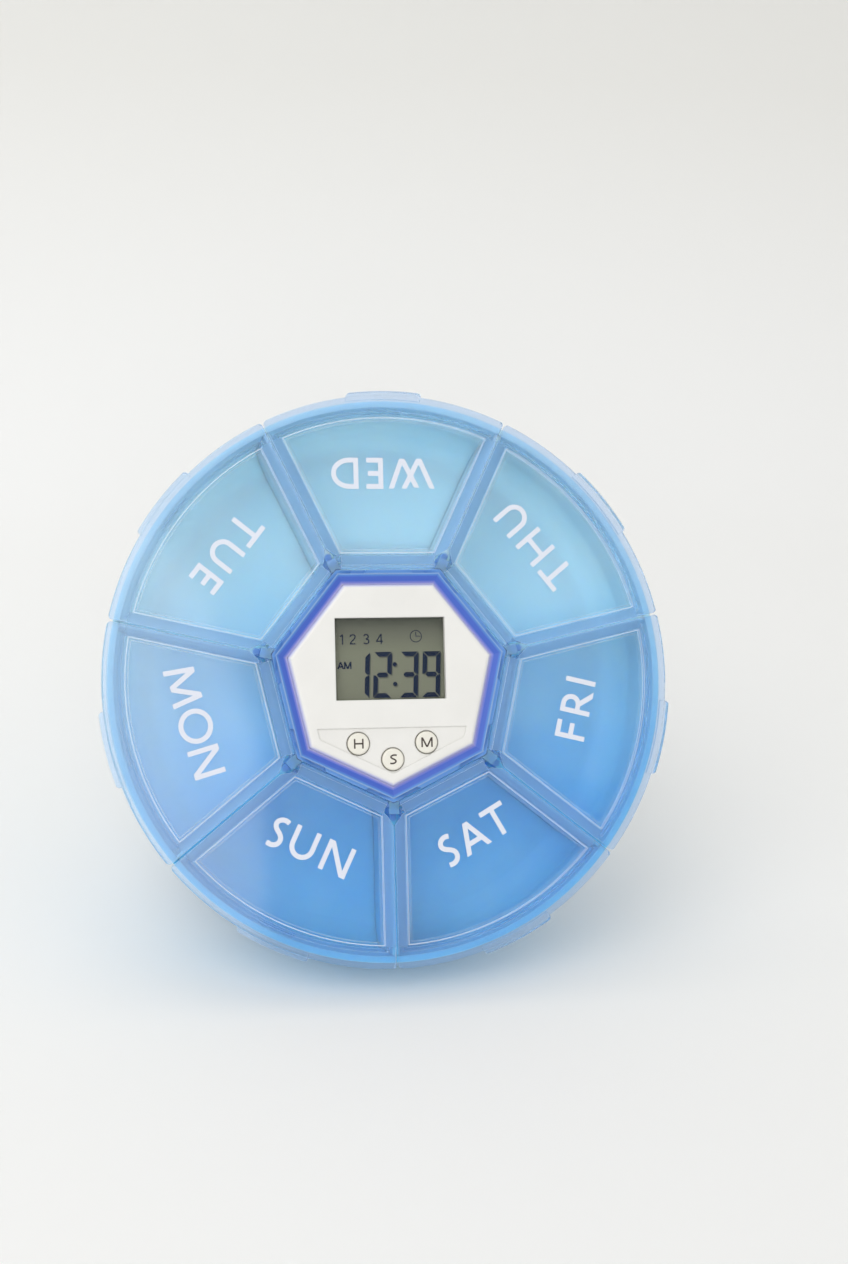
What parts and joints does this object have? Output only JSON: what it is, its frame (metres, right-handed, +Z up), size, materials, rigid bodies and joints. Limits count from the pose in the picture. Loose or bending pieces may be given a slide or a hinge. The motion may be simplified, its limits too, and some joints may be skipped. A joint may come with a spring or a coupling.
{
  "type": "automatic pill dispenser",
  "caption": "Round translucent blue pill dispenser with hinged day lids around a heptagonal alarm timer, leaning on a folding leg.",
  "frame": {"origin": "centre of the bounding box's base, on the surface the dispenser stands on", "axes": "+X to the right across the disc seen from the front, +Y backwards towards the leg, +Z up; the disc's face looks towards -Y and up, leaning back 32 degrees from upright"},
  "size_m": [0.117, 0.0778, 0.1063],
  "materials": {
    "tray_blue": "clear moulded, tinted light blue",
    "lid_blue": "clear moulded, tinted pale blue",
    "ring_blue": "clear moulded, tinted deep blue",
    "leg_blue": "clear moulded, tinted light blue",
    "timer_white": "satin moulded white",
    "cover_white": "fine moulded texture",
    "button_ivory": "satin moulded ivory",
    "window_clear": "clear polished pane",
    "display_grey": "smooth polarised glass",
    "zebra_pink": "soft ribbed silicone",
    "foam_black": "open foam",
    "board_green": "solder mask",
    "epoxy_black": "cured epoxy blob",
    "can_steel": "drawn can",
    "switch_black": "moulded",
    "buzzer_black": "moulded",
    "cell_steel": "brushed can",
    "contact_nickel": "nickel-plated strip",
    "screw_steel": "zinc-plated",
    "pin_steel": "ground"
  },
  "bodies": {
    "tray": {"base_tray": "tray_blue", "pocket_walls": "tray_blue", "foot_ring": "tray_blue", "center_ring": "ring_blue", "timer_bezel": "timer_white", "timer_back_cover": "cover_white", "lcd_window": "window_clear", "lcd_cell": "display_grey", "zebra_strip": "zebra_pink", "lcd_foam_strip": "foam_black", "circuit_board": "board_green", "controller_chip": "epoxy_black", "quartz_crystal": "can_steel", "key_switches": "switch_black", "buzzer": "buzzer_black", "coin_cell": "cell_steel", "contact_positive": "contact_nickel", "contact_negative": "contact_nickel", "cover_screws": "screw_steel", "stand_pin": "pin_steel"},
    "lid_sat": {"lid_sat": "lid_blue"},
    "lid_fri": {"lid_fri": "lid_blue"},
    "lid_thu": {"lid_thu": "lid_blue"},
    "lid_wed": {"lid_wed": "lid_blue"},
    "lid_tue": {"lid_tue": "lid_blue"},
    "lid_mon": {"lid_mon": "lid_blue"},
    "lid_sun": {"lid_sun": "lid_blue"},
    "button_hour": {"button_hour": "button_ivory"},
    "button_set": {"button_set": "button_ivory"},
    "button_minute": {"button_minute": "button_ivory"},
    "battery_door": {"battery_door": "cover_white"},
    "stand_leg": {"stand_leg": "leg_blue"}
  },
  "joints": [
    {"name": "lid_sat_hinge", "type": "hinge", "parent": "tray", "child": "lid_sat", "pos_m": [0.01011, -0.01864, 0.03839], "axis": [0.901, 0.2299, 0.368], "range_deg": [-50, 0]},
    {"name": "lid_fri_hinge", "type": "hinge", "parent": "tray", "child": "lid_fri", "pos_m": [0.02272, -0.01026, 0.0518], "axis": [0.2225, 0.5166, 0.8268], "range_deg": [-90, 0]},
    {"name": "lid_thu_hinge", "type": "hinge", "parent": "tray", "child": "lid_thu", "pos_m": [0.01822, 0.00018, 0.06852], "axis": [0.6235, -0.4143, -0.663], "range_deg": [0, 90]},
    {"name": "lid_wed_hinge", "type": "hinge", "parent": "tray", "child": "lid_wed", "pos_m": [0, 0.00483, 0.07595], "axis": [-1, 0, 0], "range_deg": [-90, 0]},
    {"name": "lid_tue_hinge", "type": "hinge", "parent": "tray", "child": "lid_tue", "pos_m": [-0.01822, 0.00018, 0.06852], "axis": [0.6235, 0.4143, 0.663], "range_deg": [0, 90]},
    {"name": "lid_mon_hinge", "type": "hinge", "parent": "tray", "child": "lid_mon", "pos_m": [-0.02272, -0.01026, 0.0518], "axis": [0.2225, -0.5166, -0.8268], "range_deg": [-90, 0]},
    {"name": "lid_sun_hinge", "type": "hinge", "parent": "tray", "child": "lid_sun", "pos_m": [-0.01011, -0.01864, 0.03839], "axis": [-0.901, 0.2299, 0.368], "range_deg": [0, 90]},
    {"name": "button_hour_press", "type": "slide", "parent": "tray", "child": "button_hour", "axis": [0, 0.848, -0.5299], "range_m": [0, 0.0005], "stiffness_N_per_m": 400, "springref_m": -0.0003},
    {"name": "button_set_press", "type": "slide", "parent": "tray", "child": "button_set", "axis": [0, 0.848, -0.5299], "range_m": [0, 0.0005], "stiffness_N_per_m": 400, "springref_m": -0.0003},
    {"name": "button_minute_press", "type": "slide", "parent": "tray", "child": "button_minute", "axis": [0, 0.848, -0.5299], "range_m": [0, 0.0005], "stiffness_N_per_m": 400, "springref_m": -0.0003},
    {"name": "battery_door_turn", "type": "hinge", "parent": "tray", "child": "battery_door", "pos_m": [0, 0.00579, 0.05201], "axis": [0, -0.848, 0.5299], "range_deg": [0, 45]},
    {"name": "stand_leg_hinge", "type": "hinge", "parent": "tray", "child": "stand_leg", "pos_m": [0, 0.02609, 0.06704], "axis": [-1, 0, 0], "range_deg": [0, 39.8]}
  ]
}
